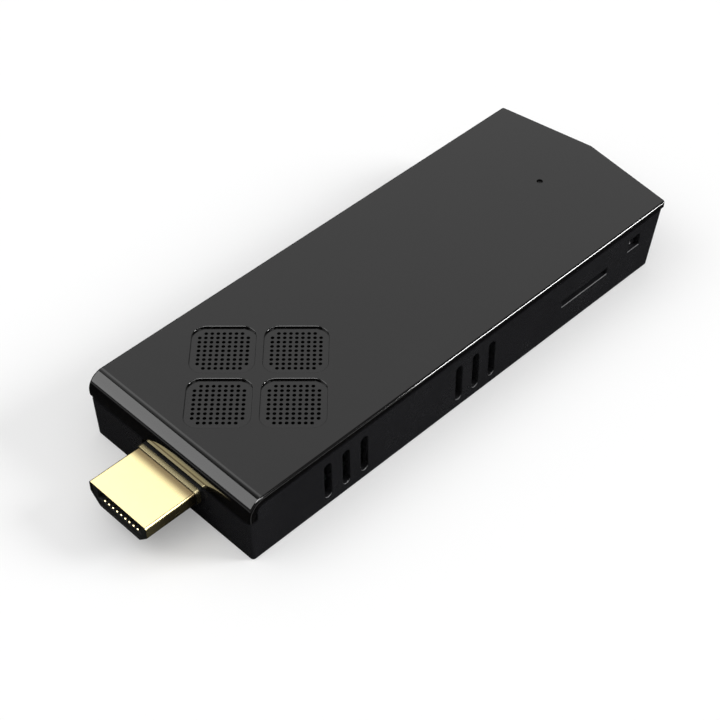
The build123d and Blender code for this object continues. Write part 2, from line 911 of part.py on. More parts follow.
def make_fan_flex():
    start = fan_socket_spot() + flex_run
    mouth = fan_socket_spot() - flex_plug
    top = fan_bottom - flex_thickness / 2
    turn = (mouth + start) / 2
    path = [(start, top), (turn + flex_bend, top), (turn - flex_bend, flex_level()), (mouth, flex_level())]
    strip = offset(Polyline(path), flex_thickness / 2, kind=Kind.INTERSECTION, side=Side.BOTH)
    return lengthways(make_face(strip), fan_middle - flex_width / 2, fan_middle + flex_width / 2)


def make_fan_socket():
    high = fan_socket_spot()
    middle = high - fan_socket_length / 2
    body = slab(middle, fan_middle, fan_socket_length, fan_socket_width, board_top, fan_socket_height)
    mouth = flex_width + 2 * pipe_fit
    depth = 2 * (flex_plug + flex_thickness)
    return body - slab(high, fan_middle, depth, mouth, flex_level() - flex_thickness / 2, flex_thickness)


# Sockets on the left side
def usb_bottom():
    return board_top - usb_sink


def make_usb_shell(station):
    y = front + station
    start = -outer_side + usb_recess
    low, high = usb_bottom(), usb_bottom() + usb_height
    shell = block(start, start + usb_depth, y - usb_width / 2, y + usb_width / 2, low, high)
    half = usb_width / 2 - usb_shell
    back = start + usb_depth - usb_shell
    shell -= block(start - overrun, back, y - half, y + half, low + usb_shell, high - usb_shell)
    for side in (-1, 1):
        foot = y + side * (usb_width + usb_foot) / 2
        place = start + usb_depth - usb_foot_length
        shell += slab(place, foot, usb_foot_length, usb_foot, board_top, usb_shell)
    return shell


def usb_tongue_low():
    return usb_bottom() + usb_height - usb_shell - usb_tongue_drop - usb_tongue_thickness


def make_usb_tongue(station):
    y = front + station
    start = -outer_side + usb_recess
    end = start + usb_depth - usb_shell
    low, high = usb_bottom() + usb_shell, usb_bottom() + usb_height - usb_shell
    half = usb_width / 2 - usb_shell
    back = block(end - usb_back, end, y - half, y + half, low, high)
    reach = half - usb_tongue_side
    level = usb_tongue_low()
    tip = start + usb_tongue_recess
    return back + block(tip, end, y - reach, y + reach, level, level + usb_tongue_thickness)


def contact_row(station, count, pitch, width, length, low):
    """Flat contacts that lie against a socket's tongue."""
    start = -outer_side + usb_recess + usb_tongue_recess + usb_contact_recess
    y = front + station
    thickness = usb_contact_thickness
    return [
        slab(start + length / 2, y + (i - (count - 1) / 2) * pitch, length, width, low, thickness)
        for i in range(count)
    ]


def usb_contact_reach():
    return usb_depth - usb_shell - usb_back - usb_tongue_recess - usb_contact_recess


def slow_contacts(station):
    """The row that every such socket has, under its tongue."""
    low = usb_tongue_low() - usb_contact_thickness
    reach = usb_contact_reach()
    return contact_row(station, usb_contact_count, usb_contact_pitch, usb_contact_width, reach, low)


def make_usb2_contacts():
    return Compound(slow_contacts(usb2_station))


def make_usb3_contacts():
    high = usb_tongue_low() + usb_tongue_thickness
    fast = contact_row(
        usb3_station, fast_contact_count, fast_contact_pitch, fast_contact_width, fast_contact_length, high
    )
    return Compound(slow_contacts(usb3_station) + fast)


def inlet_face(grow):
    middle = Pos(front + inlet_station, board_top + inlet_height / 2)
    return middle * SlotOverall(inlet_width + 2 * grow, inlet_height + 2 * grow)


def make_inlet_shell():
    start = -outer_side + inlet_recess
    end = start + inlet_depth
    room = crossways(inlet_face(-inlet_shell_wall), start - overrun, end - inlet_shell_wall)
    return crossways(inlet_face(0), start, end) - room


def make_inlet_tongue():
    start = -outer_side + inlet_recess
    end = start + inlet_depth - inlet_shell_wall
    back = crossways(inlet_face(-inlet_shell_wall), end - inlet_back, end)
    y = front + inlet_station
    middle = board_top + inlet_height / 2
    half, rise = inlet_tongue_width / 2, inlet_tongue_thickness / 2
    return back + block(start + inlet_tongue_recess, end, y - half, y + half, middle - rise, middle + rise)


def make_inlet_contacts():
    start = -outer_side + inlet_recess + 2 * inlet_tongue_recess
    end = -outer_side + inlet_recess + inlet_depth - inlet_shell_wall - inlet_back
    middle = board_top + inlet_height / 2
    contacts = []
    rise = inlet_tongue_thickness / 2
    for low in (middle - rise - inlet_contact_thickness, middle + rise):
        for i in range(inlet_contact_count):
            y = front + inlet_station + (i - (inlet_contact_count - 1) / 2) * inlet_contact_pitch
            half = inlet_contact_width / 2
            contacts.append(block(start, end, y - half, y + half, low, low + inlet_contact_thickness))
    return Compound(contacts)


def make_jack_body():
    y = front + jack_station
    middle = board_top + jack_height / 2
    start = -outer_side + jack_recess
    inner = -inner_side + board_gap
    end = start + jack_depth
    body = block(inner, end, y - jack_width / 2, y + jack_width / 2, board_top, board_top + jack_height)
    body += crossways(Pos(y, middle) * Circle(jack_nose_radius), start, inner)
    bore = Pos(y, middle) * Circle(jack_bore_radius)
    return body - crossways(bore, start - overrun, start + jack_bore_depth)


def make_jack_contacts():
    y = front + jack_station
    legs = []
    for i in range(jack_leg_count):
        x = -outer_side + jack_recess + jack_depth - jack_leg_width - i * jack_leg_pitch
        side = 1 if i % 2 else -1
        cheek = y + side * (jack_width / 2 + jack_leg_thickness / 2)
        leg = slab(x, cheek, jack_leg_width, jack_leg_thickness, board_top, jack_leg_rise)
        foot = y + side * (jack_width / 2 + jack_leg_reach / 2)
        legs.append(leg + slab(x, foot, jack_leg_width, jack_leg_reach, board_top, jack_leg_thickness))
    return Compound(legs)


# Card socket
card_mouth = inner_side - board_gap
card_end = card_mouth - card_depth
card_inside = card_width / 2 - card_rail
slider_out = card_end + card_back + slider_travel + slider_fit
card_roof = board_top + card_height - card_cover_thickness


def make_card_base():
    y = front + card_station
    half = card_width / 2
    base = block(card_end, card_mouth, y - half, y + half, board_top, card_roof)
    return base - block(
        card_end + card_back, card_mouth + overrun, y - card_inside, y + card_inside,
        board_top + card_floor, card_roof + overrun,
    )


def make_card_cover():
    y = front + card_station
    half = card_width / 2
    return block(card_end, card_mouth, y - half, y + half, card_roof, card_roof + card_cover_thickness)


def make_card_contacts():
    low = board_top + card_floor
    contacts = []
    for i in range(card_contact_count):
        y = front + card_station + (i - (card_contact_count - 1) / 2) * card_contact_pitch
        middle = card_end + card_back + slider_travel + slider_length
        length, width = card_contact_length, card_contact_width
        contacts.append(slab(middle, y, length, width, low, card_contact_thickness))
    return Compound(contacts)


def make_card_slider():
    y = front + card_station
    edge = y + card_inside - slider_fit
    low = board_top + card_floor + slider_fit
    high = card_roof - slider_fit
    rail = block(slider_out, slider_out + slider_length, edge - slider_width, edge, low, high)
    back = edge - slider_width - slider_nose_width
    return rail + block(slider_out, slider_out + slider_nose, back, edge, low, high)


# Power button and its switch
def make_power_button():
    place = Pos(front + button_station, button_level)
    width = button_opening_width - 2 * button_fit
    height = button_opening_height - 2 * button_fit
    cap = crossways(place * Rectangle(width, height), button_back, button_face)
    flange = place * Rectangle(width + 2 * button_flange_lip, height + 2 * button_flange_lip)
    cap += crossways(flange, button_back - button_flange, button_back)
    cap += crossways(place * Circle(button_stem_radius), stem_end, button_back)
    dimple = place * Circle(button_dimple_radius)
    return cap - crossways(dimple, button_face - button_dimple_depth, button_face + overrun)


def make_power_switch():
    y = front + button_station
    body = slab(switch_face - switch_depth / 2, y, switch_depth, switch_width, board_top, switch_height)
    bore = Pos(y, button_level) * Circle(plunger_radius + plunger_fit)
    bore_end = switch_face - plunger_grip - button_travel - plunger_fit
    return body - crossways(bore, bore_end, switch_face + overrun)


def make_switch_plunger():
    place = Pos(front + button_station, button_level)
    return crossways(place * Circle(plunger_radius), switch_face - plunger_grip, stem_end)


# Every piece, by its node's name
def chip(side, station, width, length, height):
    """A chip on top of the board."""
    return slab(side, front + station, width, length, board_top, height)


def hung_chip(side, station, width, length, height):
    """A chip on the board's underside."""
    return slab(side, front + station, width, length, board_bottom - height, height)


pad_low = board_top + processor_base_height + die_height
pieces = {
    "top_cover": make_top_cover(),
    "base_shell": make_base_shell(),
    "case_screws": make_case_screws(),
    "hdmi_shell": make_hdmi_shell(),
    "hdmi_collar": make_hdmi_collar(),
    "hdmi_insulator": make_hdmi_insulator(),
    "hdmi_contacts": make_hdmi_contacts(),
    "main_board": make_main_board(),
    "processor_base": chip(
        processor_side, processor_station, processor_size, processor_size, processor_base_height
    ),
    "processor_die": slab(
        processor_side, processor_middle, die_width, die_length,
        board_top + processor_base_height, die_height,
    ),
    "thermal_pad": slab(
        processor_side, processor_middle, die_width + 2 * thermal_pad_lip, die_length + 2 * thermal_pad_lip,
        pad_low, fan_bottom - pad_low,
    ),
    "heat_sink": make_heat_sink(),
    "heat_sink_screws": small_screws(sink_screws_at),
    "fan_base": make_fan_base(),
    "fan_cover": make_fan_cover(),
    "fan_rotor": make_fan_rotor(),
    "fan_magnet": make_fan_magnet(),
    "fan_shaft": make_fan_shaft(),
    "fan_bearing": make_fan_bearing(),
    "fan_stator": make_fan_stator(),
    "fan_screws": small_screws(fan_screws_at),
    "fan_flex": make_fan_flex(),
    "fan_socket": make_fan_socket(),
    "ram_chips": make_ram_chips(),
    "flash_chip": hung_chip(flash_side, card_station, flash_width, flash_length, flash_height),
    "power_chip": hung_chip(
        power_chip_side, power_chip_station, power_chip_size, power_chip_size, power_chip_height
    ),
    "bios_chip": make_bios_chip(),
    "inductors": make_inductors(),
    "capacitors": make_capacitors(),
    "clock_crystal": chip(crystal_side, crystal_station, crystal_width, crystal_length, crystal_height),
    "clock_cell": make_clock_cell(),
    "status_light": chip(0, light_station, light_width, light_length, light_height),
    "light_pipe": make_light_pipe(),
    "wifi_module": hung_chip(radio_side, radio_station, radio_size, radio_size, radio_board),
    "wifi_can": make_wifi_can(),
    "wifi_antenna": chip(0, aerial_station, aerial_length, aerial_width, aerial_height),
    "usb3_shell": make_usb_shell(usb3_station),
    "usb3_tongue": make_usb_tongue(usb3_station),
    "usb3_contacts": make_usb3_contacts(),
    "usb2_shell": make_usb_shell(usb2_station),
    "usb2_tongue": make_usb_tongue(usb2_station),
    "usb2_contacts": make_usb2_contacts(),
    "inlet_shell": make_inlet_shell(),
    "inlet_tongue": make_inlet_tongue(),
    "inlet_contacts": make_inlet_contacts(),
    "jack_body": make_jack_body(),
    "jack_contacts": make_jack_contacts(),
    "card_base": make_card_base(),
    "card_cover": make_card_cover(),
    "card_contacts": make_card_contacts(),
    "card_slider": make_card_slider(),
    "power_button": make_power_button(),
    "power_switch": make_power_switch(),
    "switch_plunger": make_switch_plunger(),
}

os.makedirs("parts", exist_ok=True)
for name, piece in pieces.items():
    export_step(piece, f"parts/{name}.step")
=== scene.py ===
import json
import math

import bmesh
import bpy
from mathutils import Matrix, Vector


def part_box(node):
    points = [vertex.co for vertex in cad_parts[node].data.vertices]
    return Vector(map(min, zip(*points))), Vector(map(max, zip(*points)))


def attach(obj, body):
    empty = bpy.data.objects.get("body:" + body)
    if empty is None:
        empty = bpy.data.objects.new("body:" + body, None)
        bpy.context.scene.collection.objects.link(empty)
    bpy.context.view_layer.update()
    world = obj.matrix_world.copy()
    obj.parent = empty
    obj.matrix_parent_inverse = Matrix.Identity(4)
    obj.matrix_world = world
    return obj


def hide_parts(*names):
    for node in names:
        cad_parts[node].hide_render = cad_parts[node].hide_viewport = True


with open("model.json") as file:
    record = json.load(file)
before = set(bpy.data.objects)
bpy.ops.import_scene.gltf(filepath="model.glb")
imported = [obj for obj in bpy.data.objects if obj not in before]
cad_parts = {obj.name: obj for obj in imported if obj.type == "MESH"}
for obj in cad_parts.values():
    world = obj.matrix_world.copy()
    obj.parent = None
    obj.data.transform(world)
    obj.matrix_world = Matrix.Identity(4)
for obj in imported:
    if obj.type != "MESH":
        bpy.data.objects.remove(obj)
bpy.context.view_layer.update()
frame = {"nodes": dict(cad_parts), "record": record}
nodes = frame["nodes"]

# Sizes in metres, as in the CAD
MM = 0.001
lid_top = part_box("top_cover")[1].z
lid_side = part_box("top_cover")[1].x
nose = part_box("top_cover")[0].y
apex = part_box("top_cover")[1].y
lip_bottom = 9.0 * MM
lip_radius = 3.2 * MM
lid_thickness = 1.5 * MM
lid_edge = 0.42 * MM
tail_edge = 0.15 * MM
lid_underside = lid_top - lid_thickness
tail_rise = 2.8 * MM
fan_middle = nose + 19.7 * MM
pad_spacing = 12.0 * MM
pad_size = 10.65 * MM
pad_corner = 2.4 * MM
pad_depth = 0.4 * MM
pad_rim = 0.14 * MM
hole_pitch = 1.0 * MM
hole_radius = 0.32 * MM
hole_rows = 9
field_side = lid_side - 2 * MM  # The pads lie within this
light_hole_radius = 0.58 * MM
light_hole_y = nose + 88.4 * MM
plug_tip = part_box("hdmi_shell")[0].y
plug_middle = (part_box("hdmi_insulator")[0].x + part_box("hdmi_insulator")[1].x) / 2
plug_top = 8.05 * MM
plug_bottom = 3.6 * MM
plug_half = 6.95 * MM
plug_cheek = 2.3 * MM
plug_slant = 2.1 * MM
plug_corner = 0.45 * MM
plug_sheet = 0.3 * MM
collar_proud = 0.25 * MM
collar_shade = nose - 0.22 * MM
# The plug's top is painted darker between these two levels: a painted reflection of the lip
lip_reflection_start = plug_tip + 7.5 * MM
lip_reflection_end = plug_tip + 9.4 * MM
pin_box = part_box("hdmi_contacts")
pin_width = 0.32 * MM
pin_thickness = 0.2 * MM
pin_pitch = 1.0 * MM
tub_inset = 1.2 * MM
tub_rim = 0.13 * MM
hair = 0.001 * MM  # Points closer than this are at one level


# Node trees
class Tree:
    """A node tree, and short ways to add nodes to it."""

    def __init__(self, tree):
        self.tree = tree
        self.tree.nodes.clear()

    def add(self, kind, values=None, **settings):
        """A node with its settings, and its inputs set to values or linked to other sockets."""
        node = self.tree.nodes.new(kind)
        for name, value in settings.items():
            setattr(node, name, value)
        for name, value in (values or {}).items():
            if isinstance(value, bpy.types.NodeSocket):
                self.tree.links.new(value, node.inputs[name])
            else:
                node.inputs[name].default_value = value
        return node

    def math(self, operation, *values):
        """The result of an operation on one value or more."""
        return self.add("ShaderNodeMath", dict(enumerate(values)), operation=operation).outputs[0]

    def ranged(self, value, low, high, start=0.0, end=1.0, kind="LINEAR"):
        """A value between start and end, spread over the range from low to high."""
        spread = {"Value": value, "From Min": start, "From Max": end, "To Min": low, "To Max": high}
        return self.add("ShaderNodeMapRange", spread, interpolation_type=kind).outputs[0]

    def split(self, vector):
        """The three parts of a vector."""
        return self.add("ShaderNodeSeparateXYZ", {0: vector}).outputs

    def noise(self, place, scale, detail):
        """Noise from 0 to 1."""
        values = {"Vector": place, "Scale": scale, "Detail": detail}
        return self.add("ShaderNodeTexNoise", values).outputs["Fac"]

    def instances(self, points, shape):
        """A shape at each of some points."""
        values = {"Points": points, "Instance": shape}
        return self.add("GeometryNodeInstanceOnPoints", values).outputs[0]

    def blend(self, factor, first, second):
        """A colour between two."""
        values = {0: factor, 6: first, 7: second}
        return self.add("ShaderNodeMix", values, data_type="RGBA").outputs[2]


def group(name, inputs, outputs):
    """An empty shader group with named inputs (name, kind, value) and outputs (name, kind)."""
    tree = bpy.data.node_groups.new(name, "ShaderNodeTree")
    for socket_name, kind, value in inputs:
        socket = tree.interface.new_socket(socket_name, in_out="INPUT", socket_type=kind)
        socket.default_value = value
    for socket_name, kind in outputs:
        tree.interface.new_socket(socket_name, in_out="OUTPUT", socket_type=kind)
    return Tree(tree)


FLOAT, COLOR, VECTOR = "NodeSocketFloat", "NodeSocketColor", "NodeSocketVector"
COUNT = "NodeSocketInt"
SURFACE = [("Color", COLOR), ("Roughness", FLOAT), ("Height", FLOAT)]


def grain_group():
    """Fine even grain with slow patches, as a moulding tool leaves."""
    made = group(
        "moulded grain",
        [
            ("Grain Scale", FLOAT, 4000.0),
            ("Patch Scale", FLOAT, 90.0),
            ("Low Roughness", FLOAT, 0.2),
            ("High Roughness", FLOAT, 0.3),
            ("Dark", COLOR, (0.01, 0.01, 0.01, 1)),
            ("Light", COLOR, (0.02, 0.02, 0.02, 1)),
        ],
        SURFACE,
    )
    given = made.add("NodeGroupInput").outputs
    place = made.add("ShaderNodeTexCoord").outputs["Object"]
    fine = made.noise(place, given["Grain Scale"], 2.0)
    slow = made.noise(place, given["Patch Scale"], 4.0)
    fine_share = 0.35
    patches = made.math("MULTIPLY", slow, 1 - fine_share)
    mixed = made.math("MULTIPLY_ADD", fine, fine_share, patches)
    spread = made.ranged(mixed, 0.0, 1.0, 0.38, 0.62)
    made.add(
        "NodeGroupOutput",
        {
            "Color": made.blend(spread, given["Dark"], given["Light"]),
            "Roughness": made.ranged(spread, given["Low Roughness"], given["High Roughness"]),
            "Height": fine,
        },
    )
    return made.tree


def drawn_group():
    """Fine drawn lines along one direction, with slow smears, as on plated and rolled sheet."""
    made = group(
        "drawn lines",
        [
            ("Stretch", VECTOR, (400.0, 9000.0, 9000.0)),
            ("Low Roughness", FLOAT, 0.15),
            ("High Roughness", FLOAT, 0.3),
            ("Dark", COLOR, (0.5, 0.5, 0.5, 1)),
            ("Light", COLOR, (0.7, 0.7, 0.7, 1)),
        ],
        SURFACE,
    )
    given = made.add("NodeGroupInput").outputs
    place = made.add("ShaderNodeTexCoord").outputs["Object"]
    drawn = made.add("ShaderNodeVectorMath", {0: place, 1: given["Stretch"]}, operation="MULTIPLY")
    lines = made.noise(drawn.outputs[0], 1.0, 3.0)
    smears = made.noise(place, 160.0, 3.0)
    line_share = 0.5
    slow = made.math("MULTIPLY", smears, 1 - line_share)
    mixed = made.math("MULTIPLY_ADD", lines, line_share, slow)
    spread = made.ranged(mixed, 0.0, 1.0, 0.35, 0.65)
    made.add(
        "NodeGroupOutput",
        {
            "Color": made.blend(spread, given["Dark"], given["Light"]),
            "Roughness": made.ranged(spread, given["Low Roughness"], given["High Roughness"]),
            "Height": lines,
        },
    )
    return made.tree


def tracks_group():
    """Copper tracks under solder mask."""
    made = group(
        "board tracks",
        [
            ("Pitch", FLOAT, 700.0),
            ("Mask", COLOR, (0.01, 0.02, 0.015, 1)),
            ("Track", COLOR, (0.03, 0.05, 0.035, 1)),
        ],
        SURFACE,
    )
    given = made.add("NodeGroupInput").outputs
    place = made.add("ShaderNodeTexCoord").outputs["Object"]
    cells = {"Vector": place, "Scale": given["Pitch"]}
    runs = made.add("ShaderNodeTexVoronoi", cells, distance="MANHATTAN").outputs["Distance"]
    tracks_in_cell, gap_share = 5.0, 0.55
    across = made.math("FRACT", made.math("MULTIPLY", runs, tracks_in_cell))
    raised = made.math("GREATER_THAN", across, gap_share)
    made.add(
        "NodeGroupOutput",
        {
            "Color": made.blend(raised, given["Mask"], given["Track"]),
            "Roughness": made.ranged(raised, 0.3, 0.42),
            "Height": raised,
        },
    )
    return made.tree


grain, drawn_lines, tracks = grain_group(), drawn_group(), tracks_group()


def finish(name, surface, values, relief, shader, tint=None):
    """A material: colour, roughness and relief from a surface group, the rest as fixed values."""
    made = bpy.data.materials.new(name)
    made.use_nodes = True
    tree = Tree(made.node_tree)
    look = tree.add("ShaderNodeGroup", node_tree=surface)
    for socket, value in values.items():
        look.inputs[socket].default_value = value
    height = look.outputs["Height"]
    bump = tree.add("ShaderNodeBump", {"Strength": 1.0, "Distance": relief, "Height": height})
    colour = look.outputs["Color"]
    body = tree.add(
        "ShaderNodeBsdfPrincipled",
        {
            "Base Color": tint(tree, colour) if tint else colour,
            "Roughness": look.outputs["Roughness"],
            "Normal": bump.outputs["Normal"],
            **shader,
        },
    )
    tree.add("ShaderNodeOutputMaterial", {"Surface": body.outputs[0]})
    return made


def tones(dark, light, low, high):
    """The colours and roughnesses between which a finish varies."""
    return {"Dark": (*dark, 1), "Light": (*light, 1), "Low Roughness": low, "High Roughness": high}


def moulded(name, dark, light, low, high, scale=5000.0, patch=90.0, relief=2e-6, specular=0.5):
    """A moulded plastic, resin, ceramic or cast finish."""
    values = {"Grain Scale": scale, "Patch Scale": patch, **tones(dark, light, low, high)}
    return finish(name, grain, values, relief, {"Specular IOR Level": specular})


def metal(name, dark, light, low, high, stretch=(500.0, 9000.0, 9000.0), relief=1e-6, tint=None):
    """A bare or plated metal."""
    values = {"Stretch": stretch, **tones(dark, light, low, high)}
    return finish(name, drawn_lines, values, relief, {"Metallic": 1.0}, tint)


def painted_lip_reflection(tree, colour):
    """A painted reflection: the plug's plating is painted darker towards its collar, standing in
    for the dark lip mirrored in it.
    """
    place = tree.add("ShaderNodeTexCoord").outputs["Object"]
    along = tree.split(place)[1]
    lip_reflection_share = tree.ranged(along, 0.0, 1.0, lip_reflection_start, lip_reflection_end, "SMOOTHSTEP")
    brown = (0.25, 0.19, 0.10, 1)
    return tree.blend(lip_reflection_share, colour, brown)


def board(name, mask, track, pitch):
    """A circuit board's finish."""
    values = {"Pitch": pitch, "Mask": (*mask, 1), "Track": (*track, 1)}
    return finish(name, tracks, values, 1.5e-5, {"Specular IOR Level": 0.45})


ALONG = (9000.0, 500.0, 9000.0)
UPRIGHT = (9000.0, 9000.0, 900.0)
FINISHES = {
    "gloss_black": moulded(
        "polished lid black", (0.0014, 0.0013, 0.0013), (0.0022, 0.0020, 0.0020), 0.05, 0.08,
        scale=900.0, patch=60.0, relief=2e-8,
    ),
    "satin_black": moulded(
        "satin tub black", (0.0112, 0.0112, 0.0124), (0.0136, 0.0136, 0.0150), 0.2, 0.28,
        scale=9000.0, relief=2e-7, specular=0.3,
    ),
    "black_nylon": moulded(
        "black nylon", (0.008, 0.008, 0.008), (0.016, 0.016, 0.015), 0.4, 0.55, specular=0.3,
    ),
    "white_nylon": moulded("natural nylon", (0.68, 0.66, 0.6), (0.8, 0.78, 0.72), 0.4, 0.55),
    "blue_nylon": moulded("blue nylon", (0.02, 0.09, 0.48), (0.035, 0.14, 0.6), 0.35, 0.5),
    "clear_plastic": moulded(
        "smoked light pipe", (0.004, 0.004, 0.004), (0.007, 0.007, 0.007), 0.3, 0.4, specular=0.3,
    ),
    "gold_plate": metal(
        "gold plug plating", (0.95, 0.80, 0.41), (1.0, 0.86, 0.46), 0.22, 0.28,
        # The tint paints a reflection of the dark lip into the plating
        ALONG, relief=2e-8, tint=painted_lip_reflection,
    ),
    "gold_contact": metal("gold contact plating", (0.9, 0.74, 0.4), (0.98, 0.86, 0.54), 0.14, 0.22),
    "bronze": metal("sintered bronze", (0.42, 0.27, 0.12), (0.6, 0.4, 0.19), 0.35, 0.5),
    "copper": metal("enamelled copper", (0.6, 0.24, 0.1), (0.8, 0.38, 0.18), 0.25, 0.4, UPRIGHT),
    "bright_steel": metal("nickel-plated sheet", (0.52, 0.52, 0.51), (0.7, 0.7, 0.69), 0.2, 0.32),
    "dark_steel": metal("black zinc plating", (0.07, 0.07, 0.075), (0.15, 0.15, 0.16), 0.3, 0.42),
    "magnet": moulded("bonded ferrite", (0.05, 0.05, 0.05), (0.12, 0.12, 0.12), 0.5, 0.65),
    "ferrite": moulded(
        "moulded coil ferrite", (0.09, 0.09, 0.1), (0.18, 0.18, 0.19), 0.5, 0.65, relief=5e-6,
    ),
    "black_aluminium": metal(
        "black anodised aluminium", (0.03, 0.03, 0.034), (0.07, 0.07, 0.075), 0.35, 0.5, ALONG,
    ),
    "board_black": board("black board", (0.008, 0.012, 0.01), (0.02, 0.032, 0.025), 650.0),
    "board_green": board("green laminate", (0.015, 0.08, 0.035), (0.04, 0.15, 0.07), 1200.0),
    "chip_black": moulded(
        "chip resin", (0.018, 0.018, 0.02), (0.032, 0.032, 0.034), 0.5, 0.65, scale=9000.0,
    ),
    "silicon": metal("polished silicon", (0.2, 0.22, 0.26), (0.3, 0.32, 0.36), 0.08, 0.15),
    "grey_pad": moulded(
        "silicone pad", (0.36, 0.38, 0.41), (0.48, 0.5, 0.53), 0.6, 0.8, relief=1e-5,
    ),
    "ceramic_tan": moulded("fired ceramic", (0.36, 0.25, 0.14), (0.5, 0.38, 0.24), 0.45, 0.6),
    "amber_film": moulded("polyimide film", (0.38, 0.17, 0.02), (0.55, 0.28, 0.05), 0.15, 0.25),
}
PAD = moulded(
    "pad floor black", (0.0024, 0.0023, 0.0023), (0.0036, 0.0034, 0.0034), 0.1, 0.15,
    scale=3000.0, relief=3e-8,
)
# Painted shade: the collar's gold is painted darker than the plug's, for the dark lip over it
COLLAR_IN_PAINTED_SHADE = metal("collar plating in painted shade", (0.50, 0.43, 0.25), (0.58, 0.50, 0.29), 0.24, 0.3)
# Painted shade: a dark non-metal in place of the plating on the plug's front rim, inside and under
# the lip
PAINTED_SHADE_EDGE = moulded(
    "shaded plug edge", (0.005, 0.0048, 0.0045), (0.009, 0.0087, 0.008), 0.45, 0.6, specular=0.2,
)
# Painted highlight: a lighter grey on the rounded lower rims of the tub's openings
PAINTED_RIM_HIGHLIGHT = moulded(
    "painted highlight on opening rim", (0.07, 0.07, 0.07), (0.11, 0.11, 0.115), 0.3, 0.45, relief=1e-7,
)
# Painted sheen: a grey far lighter than the lid, on the outer part of its side rounds
PAINTED_SIDE_SHEEN = moulded(
    "painted sheen on lid edge", (0.026, 0.026, 0.026), (0.038, 0.037, 0.037), 0.25, 0.35, relief=1e-7,
)
slot_of = {part["node"]: part["material_slot"] for part in frame["record"]["subparts"]}


# Shapes
def new_piece(name, mesh):
    """A new object with a mesh."""
    made = bpy.data.objects.new(name, mesh)
    bpy.context.scene.collection.objects.link(made)
    return made


def piece_from(name, work):
    """A new piece with the faces of a bmesh, which is used up."""
    mesh = bpy.data.meshes.new(name)
    work.to_mesh(mesh)
    work.free()
    return new_piece(name, mesh)


def settle(piece):
    """Makes a piece's modifiers part of its mesh."""
    graph = bpy.context.evaluated_depsgraph_get()
    mesh = bpy.data.meshes.new_from_object(piece.evaluated_get(graph))
    piece.modifiers.clear()
    piece.data = mesh


def extruded(name, outline, shift):
    """A solid drawn out of a flat outline in one direction."""
    work = bmesh.new()
    face = work.faces.new([work.verts.new(point) for point in outline])
    drawn = bmesh.ops.extrude_face_region(work, geom=[face])["geom"]
    moved = [v for v in drawn if isinstance(v, bmesh.types.BMVert)]
    bmesh.ops.translate(work, vec=shift, verts=moved)
    bmesh.ops.recalc_face_normals(work, faces=work.faces)
    return piece_from(name, work)


def prism(name, outline, low, high):
    """An upright prism over an outline in X and Y."""
    return extruded(name, [(x, y, low) for x, y in outline], (0, 0, high - low))


def combine(piece, tool, operation):
    """Cuts a piece with another, which is used up."""
    change = piece.modifiers.new("cut", "BOOLEAN")
    change.operation, change.object, change.solver = operation, tool, "EXACT"
    settle(piece)
    bpy.data.objects.remove(tool)


def rounded(piece, width, angle=42):
    """Rounds a piece's edges that are sharper than an angle."""
    edge = piece.modifiers.new("edge", "BEVEL")
    edge.width, edge.segments, edge.limit_method = width, 2, "ANGLE"
    edge.angle_limit = math.radians(angle)
    edge.use_clamp_overlap, edge.miter_outer = True, "MITER_ARC"
    settle(piece)


def smoothed(piece, angle):
    """Smooth shading up to an angle, with normals weighted by area."""
    for face in piece.data.polygons:
        face.use_smooth = True
    piece.data.set_sharp_from_angle(angle=math.radians(angle))
    weights = piece.modifiers.new("weights", "WEIGHTED_NORMAL")
    weights.weight, weights.keep_sharp = 100, True
    settle(piece)


def run_nodes(piece, tree, finishes):
    """Runs a Geometry Nodes tree on a piece, with its material inputs set by their names."""
    change = piece.modifiers.new("nodes", "NODES")
    change.node_group = tree
    for socket in tree.interface.items_tree:
        if socket.name in finishes:
            change[socket.identifier] = finishes[socket.name]
    settle(piece)


def round_sides(piece):
    """A full round along the lid's sides, and a finer one along its nose and tail."""
    work = bmesh.new()
    work.from_mesh(piece.data)
    weight = work.edges.layers.float.new("bevel_weight_edge")
    for edge in work.edges:
        if len(edge.link_faces) == 2 and edge.calc_face_angle() > math.radians(40):
            side = all(abs(abs(v.co.x) - lid_side) < hair for v in edge.verts)
            edge[weight] = 1.0 if side else tail_edge / lid_edge
    work.to_mesh(piece.data)
    work.free()
    edge = piece.modifiers.new("edge", "BEVEL")
    edge.width, edge.segments, edge.limit_method = lid_edge, 5, "WEIGHT"
    edge.use_clamp_overlap, edge.miter_outer = True, "MITER_ARC"
    settle(piece)


def paint_side_sheen(piece):
    """The outermost part of the lid's side rounds, in a lighter, rougher finish: a painted sheen.
    """
    piece.data.materials.append(PAINTED_SIDE_SHEEN)
    sheen_slot = len(piece.data.materials) - 1
    for face in piece.data.polygons:
        upright = 0.93 < abs(face.normal.x) < 0.995
        outside = face.normal.z > 0.02 or face.normal.y < -0.02
        if upright and outside and abs(face.center.x) > lid_side - lid_edge:
            face.material_index = sheen_slot


def bent_sheet():
    """The lid's flat sheet with its lip bent down at the nose."""
    centre_y, centre_z = nose + lip_radius, lid_top - lip_radius

    def bend(radius, steps=32):
        turns = [i * math.pi / 2 / steps for i in range(steps + 1)]
        return [(centre_y - radius * math.cos(a), centre_z + radius * math.sin(a)) for a in turns]

    inner = lip_radius - lid_thickness
    outline = [(nose, lip_bottom), *bend(lip_radius), (apex, lid_top), (apex, lid_underside)]
    outline += [*reversed(bend(inner)), (nose + lid_thickness, lip_bottom)]
    return extruded("lid", [(-lid_side, y, z) for y, z in outline], (2 * lid_side, 0, 0))


